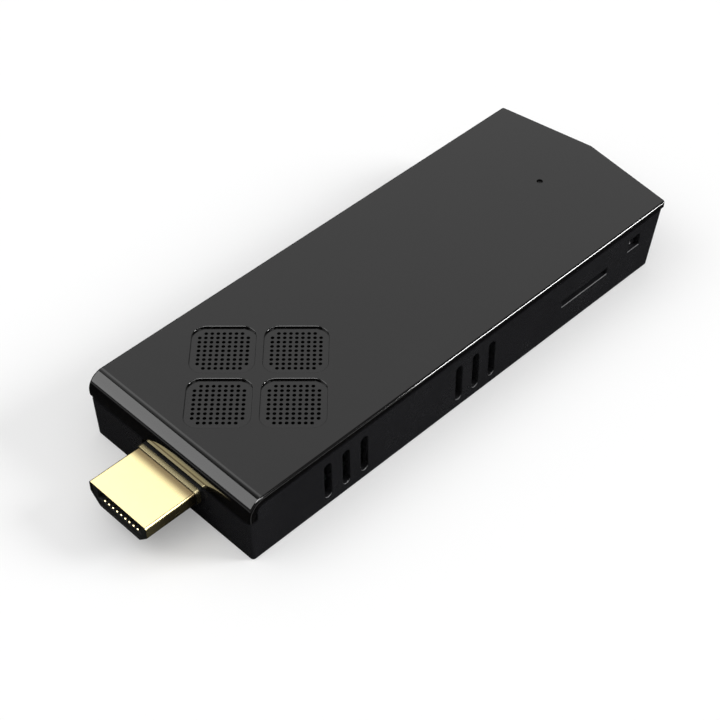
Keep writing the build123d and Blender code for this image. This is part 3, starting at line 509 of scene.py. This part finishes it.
def pad_outline(x, y, steps=12):
    """A pad's square outline with round corners, turned on its point."""
    half = pad_size / 2 - pad_corner
    points = []
    for quarter, (sx, sy) in enumerate([(1, 1), (-1, 1), (-1, -1), (1, -1)]):
        for step in range(steps + 1):
            turn = (quarter + step / steps) * math.pi / 2
            along, across = pad_corner * math.cos(turn), pad_corner * math.sin(turn)
            points.append((sx * half + along, sy * half + across))
    turned = math.sqrt(0.5)
    return [(x + (a - b) * turned, y + (a + b) * turned) for a, b in points]


def lid_tail():
    """The lid's outline from above. It reaches past the nose, so that the lip stays whole."""
    far = nose - lip_radius
    corner = apex - tail_rise
    return [(-lid_side, far), (lid_side, far), (lid_side, corner), (0, apex), (-lid_side, corner)]


def soften_rims(piece):
    """A small round along the pads' upper rims."""
    work = bmesh.new()
    work.from_mesh(piece.data)
    rims = []
    for edge in work.edges:
        ends = [v.co for v in edge.verts]
        flat = all(abs(p.z - lid_top) < hair / 10 for p in ends)
        inside = all(abs(p.x) < field_side and p.y > nose + lip_radius for p in ends)
        if flat and inside and len(edge.link_faces) == 2:
            if edge.calc_face_angle() > math.radians(57):
                rims.append(edge)
    bmesh.ops.bevel(work, geom=rims, offset=pad_rim, segments=3, profile=0.5, affect="EDGES")
    work.to_mesh(piece.data)
    work.free()


def shape_tree(name, sizes, finishes):
    """A Geometry Nodes tree that changes a geometry by sizes (name, kind, value) and finishes."""
    tree = bpy.data.node_groups.new(name, "GeometryNodeTree")
    face = tree.interface
    face.new_socket("Geometry", in_out="INPUT", socket_type="NodeSocketGeometry")
    for socket_name, kind, value in sizes:
        face.new_socket(socket_name, in_out="INPUT", socket_type=kind).default_value = value
    for socket_name in finishes:
        face.new_socket(socket_name, in_out="INPUT", socket_type="NodeSocketMaterial")
    face.new_socket("Geometry", in_out="OUTPUT", socket_type="NodeSocketGeometry")
    return Tree(tree)


def perforation_tree():
    """Four pads of small round holes cut through a plate."""
    sizes = [
        ("Pad Spacing", FLOAT, pad_spacing),
        ("Hole Pitch", FLOAT, hole_pitch),
        ("Hole Rows", COUNT, hole_rows),
        ("Hole Radius", FLOAT, hole_radius),
        ("Middle", VECTOR, (0.0, fan_middle, lid_underside)),
    ]
    made = shape_tree("perforations", sizes, ["Plate Finish", "Pad Finish"])
    given = made.add("NodeGroupInput").outputs

    # A square field of points without its corners
    count, pitch = given["Hole Rows"], given["Hole Pitch"]
    reach = made.math("MULTIPLY", made.math("SUBTRACT", count, 1.0), pitch)
    rows = {"Size X": reach, "Size Y": reach, "Vertices X": count, "Vertices Y": count}
    spots = made.add("GeometryNodeMeshGrid", rows).outputs["Mesh"]
    place = made.split(made.add("GeometryNodeInputPosition").outputs[0])
    half_reach = made.math("MULTIPLY", reach, 0.5)
    limit = made.math("SUBTRACT", half_reach, made.math("MULTIPLY", pitch, 0.5))
    past_x = made.math("GREATER_THAN", made.math("ABSOLUTE", place[0]), limit)
    past_y = made.math("GREATER_THAN", made.math("ABSOLUTE", place[1]), limit)
    corners = {"Geometry": spots, "Selection": made.math("MULTIPLY", past_x, past_y)}
    field = made.add("GeometryNodeDeleteGeometry", corners, domain="POINT").outputs[0]

    # A drill on each point of four fields, turned by an eighth
    spacing = given["Pad Spacing"]
    square = {"Size X": spacing, "Size Y": spacing, "Vertices X": 2, "Vertices Y": 2}
    pads = made.add("GeometryNodeMeshGrid", square).outputs["Mesh"]
    fields = made.instances(pads, field)
    points = made.add("GeometryNodeRealizeInstances", {0: fields}).outputs[0]
    bit = {"Vertices": 16, "Radius": given["Hole Radius"], "Depth": 6 * MM}
    drills = made.instances(points, made.add("GeometryNodeMeshCylinder", bit).outputs["Mesh"])
    eighth = (0.0, 0.0, math.pi / 4)
    move = {"Geometry": drills, "Translation": given["Middle"], "Rotation": eighth}
    turned = made.add("GeometryNodeTransform", move).outputs[0]
    bits = made.add("GeometryNodeRealizeInstances", {0: turned}).outputs[0]
    block = {"Mesh 1": given["Geometry"]}
    holes = made.add("GeometryNodeMeshBoolean", block, operation="DIFFERENCE")
    made.tree.links.new(bits, holes.inputs["Mesh 2"])
    whole = made.add("GeometryNodeRealizeInstances", {0: holes.outputs[0]}).outputs[0]

    # Finishes: the plate's, and the pads' below the plate's top
    dress = {"Geometry": whole, "Material": given["Plate Finish"]}
    plate = made.add("GeometryNodeSetMaterial", dress).outputs[0]
    at = made.split(made.add("GeometryNodeInputPosition").outputs[0])
    low = made.math("GREATER_THAN", at[2], lid_underside + 0.02 * MM)
    high = made.math("LESS_THAN", at[2], lid_top - pad_depth + 0.03 * MM)
    side = made.math("LESS_THAN", made.math("ABSOLUTE", at[0]), field_side)
    back = made.math("GREATER_THAN", at[1], nose + lip_radius + MM)
    layer = made.math("MULTIPLY", low, high)
    field = made.math("MULTIPLY", side, back)
    sunk = made.math("MULTIPLY", layer, field)
    dress = {"Geometry": plate, "Selection": sunk, "Material": given["Pad Finish"]}
    padded = made.add("GeometryNodeSetMaterial", dress)
    made.add("NodeGroupOutput", {"Geometry": padded.outputs[0]})
    return made.tree


def inner_rim(piece):
    """The lid's rim and screw bosses below the sheet, taken over from the CAD solid."""
    work = bmesh.new()
    work.from_mesh(nodes["top_cover"].data)
    bmesh.ops.remove_doubles(work, verts=work.verts, dist=hair / 10)
    gone = [
        f for f in work.faces
        if max(v.co.z for v in f.verts) > lid_underside + hair
        or min(v.co.z for v in f.verts) > lid_underside - hair
        or min(v.co.y for v in f.verts) < nose + lid_thickness + hair
    ]
    bmesh.ops.delete(work, geom=gone, context="FACES")
    for vert in work.verts:
        if abs(vert.co.z - lid_underside) < hair:
            vert.co.z += lid_thickness / 4
    bmesh.ops.holes_fill(work, edges=work.edges, sides=0)
    rim = piece_from("rim", work)
    rim.data.materials.append(FINISHES["satin_black"])
    with bpy.context.temp_override(active_object=piece, selected_editable_objects=[piece, rim]):
        bpy.ops.object.join()


def make_lid():
    """The lid: a bent sheet cut to its tail, with pads, holes, rounded edges and the rim below."""
    lid = bent_sheet()
    combine(lid, prism("tail", lid_tail(), 0, 2 * lid_top), "INTERSECT")
    round_sides(lid)
    step = pad_spacing * math.sqrt(0.5)
    for x, y in ((step, 0), (-step, 0), (0, step), (0, -step)):
        outline = pad_outline(x, fan_middle + y)
        combine(lid, prism("pad", outline, lid_top - pad_depth, 2 * lid_top), "DIFFERENCE")
    soften_rims(lid)
    radius, turns = light_hole_radius, [i * math.pi / 16 for i in range(32)]
    ring = [(radius * math.cos(a), light_hole_y + radius * math.sin(a)) for a in turns]
    combine(lid, prism("light hole", ring, lid_underside - MM, 2 * lid_top), "DIFFERENCE")
    finishes = {"Plate Finish": FINISHES["gloss_black"], "Pad Finish": PAD}
    run_nodes(lid, perforation_tree(), finishes)
    paint_side_sheen(lid)
    smoothed(lid, 35)
    inner_rim(lid)
    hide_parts("top_cover")
    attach(lid, "stick")


def outward(corners):
    """Each corner of an anticlockwise outline, with the outward directions of its two sides."""
    for i, point in enumerate(corners):
        before = (point - corners[i - 1]).normalized()
        after = (corners[(i + 1) % len(corners)] - point).normalized()
        yield point, Vector((before.y, -before.x)), Vector((after.y, -after.x))


def grown(corners, distance):
    """An outline's corners moved outwards."""
    return [point + (a + b) * distance / (1 + a.dot(b)) for point, a, b in outward(corners)]


def eased(corners, radius, steps=8):
    """An outline with its corners made round."""
    points = []
    for point, a, b in outward(corners):
        centre = point - (a + b) * radius / (1 + a.dot(b))
        turn = a.angle(b) / steps
        points += [centre + Matrix.Rotation(turn * i, 2) @ a * radius for i in range(steps + 1)]
    return points


def plug_corners():
    """The plug's outline in X and Z, from its lower left corner."""
    low, high, knee = plug_bottom, plug_top, plug_top - plug_cheek
    halves = [(plug_half - plug_slant, low), (plug_half, knee), (plug_half, high)]
    right = [Vector((plug_middle + x, z)) for x, z in halves]
    left = [Vector((plug_middle - x, z)) for x, z in reversed(halves)]
    return right + left


def make_ring(name, node, outer, inner, levels, look, painted_shade_from):
    """A ring between two outlines, with painted shade on its front rim, inside, and outside past
    one level.
    """
    work = bmesh.new()

    def loop(line, y):
        return [work.verts.new((x, y, z)) for x, z in line]

    rings = [(loop(outer, y), loop(inner, y)) for y in levels]
    walls = [(rings[0][0], rings[0][1], True), (rings[-1][1], rings[-1][0], False)]
    for level, first, second in zip(levels, rings, rings[1:]):
        walls += [(second[0], first[0], level > painted_shade_from - hair), (first[1], second[1], True)]
    for first, second, dark in walls:
        for i in range(len(outer)):
            j = (i + 1) % len(outer)
            face = work.faces.new((first[i], first[j], second[j], second[i]))
            face.material_index = int(dark)
    bmesh.ops.recalc_face_normals(work, faces=work.faces)
    ring = piece_from(name, work)
    ring.data.materials.append(look)
    # The second finish is the painted shade
    ring.data.materials.append(PAINTED_SHADE_EDGE)
    smoothed(ring, 30)
    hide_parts(node)
    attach(ring, "stick")


def make_plug_shell():
    """The plug's drawn sleeve, and the collar round it."""
    corners = plug_corners()
    outer = eased(corners, plug_corner)
    inner = eased(grown(corners, -plug_sheet), plug_corner - plug_sheet)
    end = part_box("hdmi_shell")[1].y
    plating = FINISHES["gold_plate"]
    make_ring("plug_sleeve", "hdmi_shell", outer, inner, (plug_tip, end), plating, end)
    low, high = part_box("hdmi_collar")
    proud = eased(grown(corners, collar_proud), plug_corner + collar_proud)
    levels = (low.y, collar_shade, high.y)
    make_ring("plug_flange", "hdmi_collar", proud, outer, levels, COLLAR_IN_PAINTED_SHADE, collar_shade)


def pin_face(steps=5):
    """The side view of one plug contact, with its nose sloped and rounded."""
    start, end = pin_box[0].y, pin_box[1].y
    steep, shallow = math.radians(52), math.radians(20)
    bend = pin_thickness / (math.cos(shallow) - math.cos(steep))
    turns = [steep + (shallow - steep) * i / steps for i in range(steps + 1)]
    back = [start + bend * (math.sin(steep) - math.sin(a)) for a in turns]
    rise = [bend * (math.cos(a) - math.cos(steep)) for a in turns]
    return [*zip(back, rise), (end, pin_thickness), (end, 0.0)]


def pin_tree():
    """Two facing rows of plug contacts, one with one contact fewer."""
    sizes = [
        ("Upper Count", COUNT, 10),
        ("Lower Count", COUNT, 9),
        ("Pitch", FLOAT, pin_pitch),
        ("Middle", FLOAT, plug_middle),
        ("Lower Level", FLOAT, pin_box[0].z),
        ("Upper Level", FLOAT, pin_box[1].z),
    ]
    made = shape_tree("contact rows", sizes, ["Finish"])
    given = made.add("NodeGroupInput").outputs

    def row(count, level, pin):
        """Contacts side by side at one level, about the plug's middle."""
        span = made.math("MULTIPLY", made.math("SUBTRACT", given[count], 1.0), given["Pitch"])
        first = made.math("ADD", given["Middle"], made.math("MULTIPLY", span, -0.5))
        start = made.add("ShaderNodeCombineXYZ", {0: first, 2: given[level]}).outputs[0]
        step = made.add("ShaderNodeCombineXYZ", {0: given["Pitch"]}).outputs[0]
        line = {"Count": given[count], "Start Location": start, "Offset": step}
        return made.instances(made.add("GeometryNodeMeshLine", line).outputs[0], pin)

    mirror = {"Geometry": given["Geometry"], "Scale": (1.0, 1.0, -1.0)}
    over = made.add("GeometryNodeTransform", mirror).outputs[0]
    flipped = made.add("GeometryNodeFlipFaces", {0: over}).outputs[0]
    rows = made.add("GeometryNodeJoinGeometry")
    made.tree.links.new(row("Lower Count", "Lower Level", given["Geometry"]), rows.inputs[0])
    made.tree.links.new(row("Upper Count", "Upper Level", flipped), rows.inputs[0])
    whole = made.add("GeometryNodeRealizeInstances", {0: rows.outputs[0]}).outputs[0]
    dress = {"Geometry": whole, "Material": given["Finish"]}
    plated = made.add("GeometryNodeSetMaterial", dress)
    made.add("NodeGroupOutput", {"Geometry": plated.outputs[0]})
    return made.tree


def make_pins():
    """The plug's contacts, whose rolled noses show in its mouth."""
    outline = [(-pin_width / 2, y, z) for y, z in pin_face()]
    pins = extruded("plug_pins", outline, (pin_width, 0, 0))
    run_nodes(pins, pin_tree(), {"Finish": FINISHES["gold_contact"]})
    smoothed(pins, 40)
    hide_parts("hdmi_contacts")
    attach(pins, "stick")


def merged(node):
    """A CAD solid's mesh, joined up and with its flat faces whole."""
    work = bmesh.new()
    work.from_mesh(nodes[node].data)
    bmesh.ops.remove_doubles(work, verts=work.verts, dist=hair / 5)
    flat = math.radians(0.4)
    bmesh.ops.dissolve_limit(work, angle_limit=flat, verts=work.verts, edges=work.edges)
    return work


def make_tub():
    """The tub, with the outer rims of its openings rounded and a painted highlight on their
    upward-facing lower parts.
    """
    work = merged("base_shell")
    low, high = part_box("base_shell")
    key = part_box("power_button")[0]
    key_opening, key_level = key.y - MM, key.z + 0.5 * MM
    front_end, tail_end = low.y + 1.5 * MM, high.y - 3.5 * MM
    rims = []
    for edge in work.edges:
        ends = [v.co for v in edge.verts]
        outside = all(abs(abs(p.x) - high.x) < 2 * hair and MM < p.z < high.z - MM for p in ends)
        under = all(abs(p.z) < 2 * hair and abs(p.x) < high.x - MM for p in ends)
        between = all(front_end < p.y < tail_end for p in ends)
        key_side = all(p.y > key_opening and p.z > key_level for p in ends)
        if (outside or under) and between and not key_side and len(edge.link_faces) == 2:
            if edge.calc_face_angle() > math.radians(46):
                rims.append(edge)
    bmesh.ops.bevel(work, geom=rims, offset=tub_rim, segments=3, profile=0.5, affect="EDGES")
    bmesh.ops.recalc_face_normals(work, faces=work.faces)
    tub = piece_from("tub", work)
    tub.data.materials.append(FINISHES["satin_black"])
    tub.data.materials.append(PAINTED_RIM_HIGHLIGHT)
    for face in tub.data.polygons:
        face.use_smooth = False
        # Rim faces that face up get the painted highlight
        facing_up = face.normal.z > 0.4 and abs(face.normal.x) > 0.2
        on_wall = high.x - 1.5 * tub_rim < abs(face.center.x) and MM < face.center.z < high.z - MM
        if facing_up and on_wall:
            face.material_index = 1
    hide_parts("base_shell")
    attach(tub, "stick")


def softened(name, node, width, body="stick"):
    """A rigid CAD solid again, with its sharp edges rounded as moulding and stamping leave them."""
    piece = piece_from(name, merged(node))
    piece.data.materials.append(FINISHES[slot_of[node]])
    rounded(piece, width)
    smoothed(piece, 35)
    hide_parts(node)
    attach(piece, body)


# Camera, floor and light
def make_camera():
    """The photograph's place and lens."""
    across = Vector((0.702704, 0.711432, -0.008521))
    down = Vector((0.503262, -0.505483, -0.700867))
    ahead = Vector((-0.502927, 0.488213, -0.713241))
    place = Vector((150.4348, -149.2479, 213.6665)) * MM
    data = bpy.data.cameras.new("camera")
    data.sensor_width, data.lens, data.clip_start, data.clip_end = 36.0, 86.54, 0.01, 20.0
    camera = bpy.data.objects.new("camera", data)
    turn = Matrix((across, -down, -ahead)).transposed().to_4x4()
    camera.matrix_world = Matrix.Translation(place) @ turn
    bpy.context.scene.collection.objects.link(camera)
    bpy.context.scene.camera = camera


def make_floor():
    """White paper, open under the tub, so that the underside can be lit and seen from below."""
    side, front, back = lid_side - tub_inset, nose + tub_inset, apex - tail_rise - 3 * tub_inset
    hole = [(-side, front), (side, front), (side, back), (0, apex - 3 * tub_inset), (-side, back)]
    spread = 150
    points = [(x, y, 0) for x, y in hole] + [(x * spread, y * spread, 0) for x, y in hole]
    count = len(hole)
    faces = [(i, i + count, (i + 1) % count + count, (i + 1) % count) for i in range(count)]
    mesh = bpy.data.meshes.new("floor")
    mesh.from_pydata(points, [], faces)
    floor = new_piece("floor", mesh)
    paper = bpy.data.materials.new("white paper floor")
    paper.use_nodes = True
    tree = Tree(paper.node_tree)
    path = tree.add("ShaderNodeLightPath").outputs
    direct = tree.math("MAXIMUM", path["Is Camera Ray"], path["Is Transmission Ray"])
    paper_white, gloss_loss, paper_glow = 0.62, 0.6, 0.25
    loss = tree.math("MULTIPLY", path["Is Glossy Ray"], gloss_loss)
    shade = tree.math("SUBTRACT", paper_white, loss)
    grey = tree.add("ShaderNodeCombineColor", {0: shade, 1: shade, 2: shade}).outputs[0]
    body = tree.add("ShaderNodeBsdfDiffuse", {"Color": grey})
    glow = tree.add("ShaderNodeEmission", {"Strength": tree.math("MULTIPLY", direct, paper_glow)})
    sheet = tree.add("ShaderNodeAddShader", {0: body.outputs[0], 1: glow.outputs[0]})
    below = tree.math("MULTIPLY", direct, tree.add("ShaderNodeNewGeometry").outputs["Backfacing"])
    clear = tree.add("ShaderNodeBsdfTransparent")
    both = tree.add("ShaderNodeMixShader", {0: below, 1: sheet.outputs[0], 2: clear.outputs[0]})
    tree.add("ShaderNodeOutputMaterial", {"Surface": both.outputs[0]})
    floor.data.materials.append(paper)


def make_world():
    """A white dome to the camera; in gloss a white sheet behind, dark flags and a pale horizon."""
    world = bpy.data.worlds.new("studio dome")
    world.use_nodes = True
    bpy.context.scene.world = world
    tree = Tree(world.node_tree)
    path = tree.add("ShaderNodeLightPath").outputs
    way = tree.split(tree.add("ShaderNodeTexCoord").outputs["Generated"])
    height = tree.math("ABSOLUTE", way[2])
    behind = tree.ranged(tree.math("SUBTRACT", way[1], way[0]), 0.0, 1.0, 0.5, 0.76, "SMOOTHSTEP")
    raised = tree.ranged(height, 0.0, 1.0, 0.4, 0.56, "SMOOTHSTEP")
    pale, flag, white = 0.35, 0.18, 1.0
    horizon = tree.ranged(height, pale, 0.0, 0.06, 0.14, "SMOOTHSTEP")
    sheet = tree.ranged(tree.math("MULTIPLY", behind, raised), flag, white)
    mirrored = tree.math("MULTIPLY", path["Is Glossy Ray"], tree.math("ADD", sheet, horizon))
    direct = tree.math("MAXIMUM", path["Is Camera Ray"], path["Is Transmission Ray"])
    overhead = tree.ranged(height, 0.12, 1.2, 0.45, 0.78, "SMOOTHSTEP")
    soft = tree.math("MULTIPLY", path["Is Diffuse Ray"], overhead)
    level = tree.math("MAXIMUM", tree.math("MAXIMUM", direct, mirrored), soft)
    sky = tree.add("ShaderNodeBackground", {"Color": (1, 1, 1, 1), "Strength": level})
    tree.add("ShaderNodeOutputWorld", {"Surface": sky.outputs[0]})


def softbox(name, aim, way, along, size, radiance):
    """A softbox, for gloss alone. It faces a point from a direction, its length along another."""
    width, length, reach = size
    back = Vector(way).normalized()
    side = Vector(along).cross(back).normalized()
    data = bpy.data.lights.new(name, "AREA")
    data.shape, data.size, data.size_y = "RECTANGLE", width, length
    data.energy = radiance * math.pi * width * length
    made = bpy.data.objects.new(name, data)
    turn = Matrix((side, back.cross(side), back)).transposed().to_4x4()
    made.matrix_world = Matrix.Translation(Vector(aim) + back * reach) @ turn
    made.visible_diffuse, made.visible_camera = False, False
    bpy.context.scene.collection.objects.link(made)


def sun(name, way, strength, spread):
    """A far, soft light, which doesn't show in gloss."""
    data = bpy.data.lights.new(name, "SUN")
    data.energy, data.angle = strength, math.radians(spread)
    made = bpy.data.objects.new(name, data)
    made.rotation_euler = Vector(way).to_track_quat("Z", "Y").to_euler()
    made.visible_glossy = False
    bpy.context.scene.collection.objects.link(made)


def make_lights():
    """A key and a fill for the matt light, and softboxes: width, length and distance in metres."""
    lip = (0, nose, lid_top)
    lip_end = (lid_side, nose, lid_top)
    rear_edge = (lid_side, 25 * MM, lid_top)
    plug_edge = (8 * MM, plug_tip, 8 * MM)
    pads = (0, fan_middle, lid_top)
    sun("rear key", (0.62, 0.66, 0.43), 2.1, 22)
    sun("front fill", (-0.45, -0.6, 0.66), 0.7, 50)
    softbox(
        "front left softbox", lip, (-0.55, -0.537, 0.64), (0, -0.766, -0.643),
        (0.34, 0.542, 0.5), 3.5,
    )
    softbox("crest strip", lip, (-0.55, 0.285, 0.785), (1, 0, 0), (0.085, 0.3, 0.5), 0.9)
    softbox(
        "rear edge strip", rear_edge, (0.812, 0.573, 0.108), (0.132, 0, -0.991),
        (0.175, 0.15, 0.7), 72.0,
    )
    softbox(
        "plug edge strip", plug_edge, (0.72, 0.35, 0.6), (-0.64, 0, 0.77),
        (0.1, 0.6, 0.7), 4.5,
    )
    softbox(
        "lip end strip", lip_end, (0.62, 0.13, 0.77), (-0.77, 0, 0.62),
        (0.17, 0.3, 0.7), 9.0,
    )
    softbox(
        "pad rim softbox", pads, (0.2, -0.22, 0.955), (0.707, 0.707, 0),
        (0.26, 0.3, 0.5), 13.0,
    )


make_camera()
make_lid()
make_tub()
make_plug_shell()
softened("plug_core", "hdmi_insulator", 0.04 * MM)
make_pins()
softened("fast_socket_can", "usb3_shell", 0.05 * MM)
softened("slow_socket_can", "usb2_shell", 0.05 * MM)
softened("inlet_can", "inlet_shell", 0.05 * MM)
softened("jack_housing", "jack_body", 0.1 * MM)
softened("power_key", "power_button", 0.08 * MM, "button")
softened("foot_screws", "case_screws", 0.06 * MM)

for name, node in nodes.items():
    if not node.hide_render:
        node.data.materials.clear()
        node.data.materials.append(FINISHES[slot_of[name]])

make_floor()
make_world()
make_lights()
bpy.context.scene.view_settings.view_transform = "Standard"
